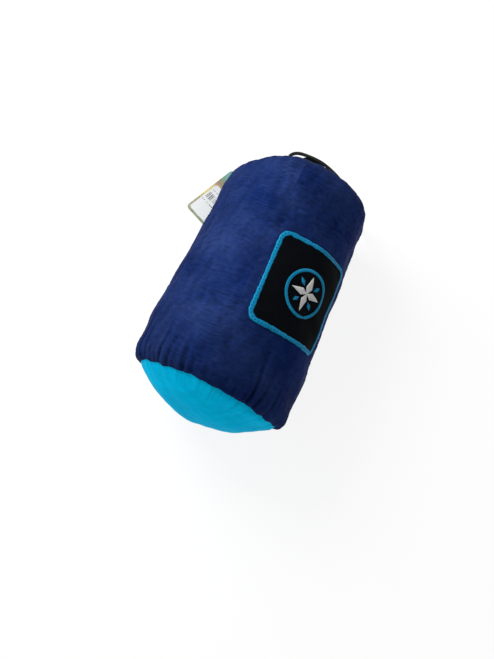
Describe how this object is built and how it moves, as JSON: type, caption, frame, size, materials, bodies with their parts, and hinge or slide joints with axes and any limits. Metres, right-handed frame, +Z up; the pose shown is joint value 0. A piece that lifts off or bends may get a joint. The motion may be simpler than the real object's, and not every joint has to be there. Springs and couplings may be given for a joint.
{
  "type": "packed camping hammock",
  "caption": "Parachute-cloth camping hammock, rolled with its carabiners in a round drawstring stuff sack that lies on its side.",
  "frame": {"origin": "middle of the flat that the sack lies on, 100 mm from the bottom seam", "axes": "+Y along the sack from its bottom disc to its mouth, +Z up from the floor, +X across towards the patch"},
  "size_m": [0.1764, 0.247, 0.133],
  "materials": {
    "navy_nylon": "satin ripstop nylon, fine crinkles",
    "cyan_nylon": "satin ripstop nylon",
    "patch_twill": "matt woven twill",
    "blue_thread": "silky embroidery thread",
    "white_thread": "silky embroidery thread",
    "black_cord": "braided polyester cord",
    "tag_string": "twisted thread",
    "lock_plastic": "moulded acetal",
    "spring_steel": "drawn spring wire",
    "carabiner_steel": "polished, zinc plated steel",
    "tag_card": "printed and coated card",
    "sticker": "coated white label"
  },
  "bodies": {
    "root": {"sack_side_panel": "navy_nylon", "sack_bottom_panel": "cyan_nylon", "bottom_seam_binding": "navy_nylon", "mouth_hem": "navy_nylon", "drawcord_in_hem": "black_cord", "drawcord_tail_left": "black_cord", "drawcord_tail_right": "black_cord", "drawcord_end_knot": "black_cord", "patch_field": "patch_twill", "patch_border": "blue_thread", "patch_blue_embroidery": "blue_thread", "patch_white_embroidery": "white_thread"},
    "cord_lock": {"cord_lock_barrel": "lock_plastic", "cord_lock_spring": "spring_steel"},
    "cord_lock_button": {"cord_lock_plunger": "lock_plastic"},
    "tag": {"tag_card": "tag_card", "tag_sticker": "sticker", "tag_string": "tag_string"},
    "hammock": {"hammock_main_panel": "navy_nylon", "hammock_side_panel_left": "cyan_nylon", "hammock_side_panel_right": "cyan_nylon", "gather_rope_left": "black_cord", "gather_rope_right": "black_cord", "carabiner_left_frame": "carabiner_steel", "carabiner_left_rivet": "carabiner_steel", "carabiner_right_frame": "carabiner_steel", "carabiner_right_rivet": "carabiner_steel"},
    "gate_left": {"carabiner_left_gate": "carabiner_steel", "carabiner_left_latch_pin": "carabiner_steel", "carabiner_left_spring": "spring_steel"},
    "gate_right": {"carabiner_right_gate": "carabiner_steel", "carabiner_right_latch_pin": "carabiner_steel", "carabiner_right_spring": "spring_steel"}
  },
  "joints": [
    {"name": "hammock_slide", "type": "slide", "parent": "root", "child": "hammock", "axis": [0, 1, 0], "range_m": [0, 0.24], "deforming": ["sack_side_panel", "mouth_hem", "drawcord_in_hem", "drawcord_tail_left", "drawcord_tail_right", "drawcord_end_knot", "tag_string"]},
    {"name": "gate_left_hinge", "type": "hinge", "parent": "hammock", "child": "gate_left", "pos_m": [-0.0315, 0.0645, 0.024], "axis": [0, 1, 0], "range_deg": [0, 25], "stiffness_Nm_per_rad": 0.05, "springref_deg": -34.38, "deforming": ["carabiner_left_spring"]},
    {"name": "gate_right_hinge", "type": "hinge", "parent": "hammock", "child": "gate_right", "pos_m": [0.0315, 0.0645, 0.024], "axis": [0, -1, 0], "range_deg": [0, 25], "stiffness_Nm_per_rad": 0.05, "springref_deg": -34.38, "deforming": ["carabiner_right_spring"]},
    {"name": "cord_lock_slide", "type": "slide", "parent": "root", "child": "cord_lock", "axis": [-1, 0, 0], "range_m": [0, 0.012]},
    {"name": "cord_lock_press", "type": "slide", "parent": "cord_lock", "child": "cord_lock_button", "axis": [0, -1, 0], "range_m": [0, 0.004], "stiffness_N_per_m": 300, "springref_m": -0.003, "deforming": ["cord_lock_spring"]},
    {"name": "tag_swing", "type": "hinge", "parent": "root", "child": "tag", "pos_m": [-0.0065, 0.0967, 0], "axis": [0, 0, -1], "range_deg": [0, 60]}
  ]
}
